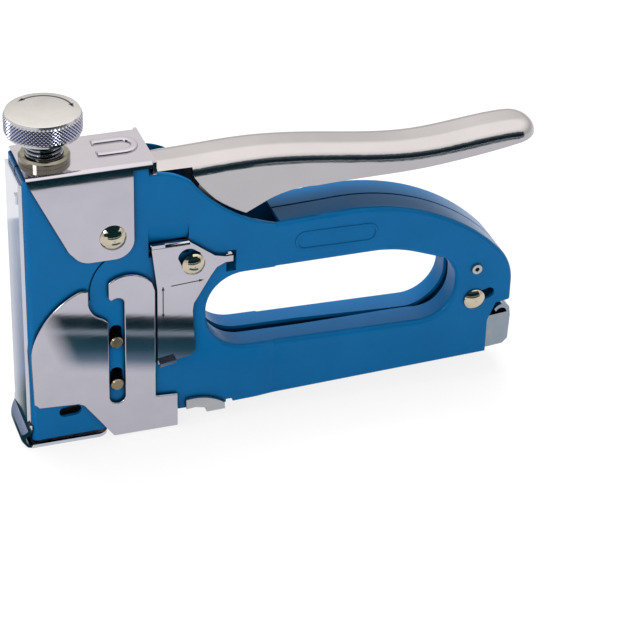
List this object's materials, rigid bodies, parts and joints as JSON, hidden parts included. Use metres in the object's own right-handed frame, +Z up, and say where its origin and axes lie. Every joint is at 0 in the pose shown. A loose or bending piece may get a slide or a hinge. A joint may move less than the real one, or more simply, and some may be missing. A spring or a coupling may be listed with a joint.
{
  "type": "staple gun",
  "caption": "Hand staple gun: blue pressed-steel body with a finger hole, chromed squeeze handle, knurled power knob, sliding handle lock, drop-down jam gate and draw-out magazine.",
  "frame": {"origin": "middle of the overall box in plan, on the plane of the sole under the nose", "axes": "nose toward -X, handle tip toward +X, +Z up the tower, the side with the lock plate toward -Y"},
  "size_m": [0.1814, 0.0296, 0.1202],
  "materials": {
    "blue_enamel": "gloss stoved enamel",
    "chrome_plate": "bright plated pressed sheet",
    "handle_chrome": "polished plate",
    "knob_chrome": "plated, satin top and knurled rim",
    "rivet_steel": "polished dome heads, slightly warm",
    "brass_bush": "dull passivated brass",
    "brass_pin": "dull passivated brass",
    "zinc_steel": "bright zinc plate",
    "spring_steel": "oiled wire",
    "black_rubber": "matt"
  },
  "bodies": {
    "body": {"left_shell": "blue_enamel", "right_shell": "blue_enamel", "top_cap": "chrome_plate", "front_plate": "chrome_plate", "cap_rivets": "rivet_steel", "cap_bush": "brass_bush", "pivot_pin": "rivet_steel", "guide_pins": "brass_pin", "rear_eyelet": "brass_pin", "plunger_guides": "zinc_steel", "bumper_bracket": "zinc_steel", "bumper": "black_rubber", "main_spring": "spring_steel", "return_spring": "spring_steel", "latch_spring": "spring_steel"},
    "squeeze_handle": {"handle": "handle_chrome", "lift_lever": "zinc_steel", "lever_rivets": "zinc_steel"},
    "plunger_set": {"plunger": "zinc_steel", "lift_studs": "zinc_steel", "driver_blade": "zinc_steel", "blade_rivets": "zinc_steel"},
    "adjuster_seat": {"spring_seat": "zinc_steel"},
    "adjuster_set": {"adjuster_screw": "knob_chrome", "adjuster_knob": "knob_chrome"},
    "handle_lock": {"lock_plate": "chrome_plate"},
    "jam_gate": {"gate": "chrome_plate"},
    "magazine_set": {"magazine": "zinc_steel", "staple_rail": "zinc_steel", "magazine_end": "chrome_plate", "guide_rod": "zinc_steel", "pusher_spring": "spring_steel"},
    "staple_pusher": {"pusher": "zinc_steel"},
    "rear_latch": {"latch_pin": "rivet_steel"}
  },
  "joints": [
    {"name": "handle_squeeze", "type": "hinge", "parent": "body", "child": "squeeze_handle", "pos_m": [-0.0328, 0, 0.0637], "axis": [0, 1, 0], "range_deg": [0, 9.5], "stiffness_Nm_per_rad": 30, "springref_deg": -5.73, "deforming": ["return_spring"]},
    {"name": "plunger_lift", "type": "slide", "parent": "body", "child": "plunger_set", "axis": [0, 0, 1], "range_m": [0, 0.0076], "deforming": ["main_spring"]},
    {"name": "adjuster_feed", "type": "slide", "parent": "body", "child": "adjuster_seat", "axis": [0, 0, 1], "range_m": [-0.003, 0.003], "deforming": ["main_spring"]},
    {"name": "adjuster_turn", "type": "hinge", "parent": "adjuster_seat", "child": "adjuster_set", "pos_m": [-0.0783, 0, 0.105], "axis": [0, 0, 1], "range_deg": [-725, 725]},
    {"name": "lock_slide", "type": "slide", "parent": "body", "child": "handle_lock", "axis": [0, 0, -1], "range_m": [0, 0.003]},
    {"name": "gate_drop", "type": "slide", "parent": "body", "child": "jam_gate", "axis": [0, 0, -1], "range_m": [0, 0.0138]},
    {"name": "magazine_draw", "type": "slide", "parent": "body", "child": "magazine_set", "axis": [0.9996, 0, 0.0272], "range_m": [0, 0.085]},
    {"name": "pusher_draw", "type": "slide", "parent": "magazine_set", "child": "staple_pusher", "axis": [0.9996, 0, 0.0272], "range_m": [0, 0.09], "stiffness_N_per_m": 40, "springref_m": -0.06, "deforming": ["pusher_spring"]},
    {"name": "latch_slide", "type": "slide", "parent": "body", "child": "rear_latch", "axis": [0.9648, 0, 0.2631], "range_m": [0, 0.0054], "stiffness_N_per_m": 400, "springref_m": -0.003, "deforming": ["latch_spring"]}
  ],
  "couplings": [
    {"joint": "plunger_lift", "follows": "handle_squeeze", "m_per_rad": 0.0456},
    {"joint": "adjuster_turn", "follows": "adjuster_feed", "rad_per_m": 4188.8}
  ]
}
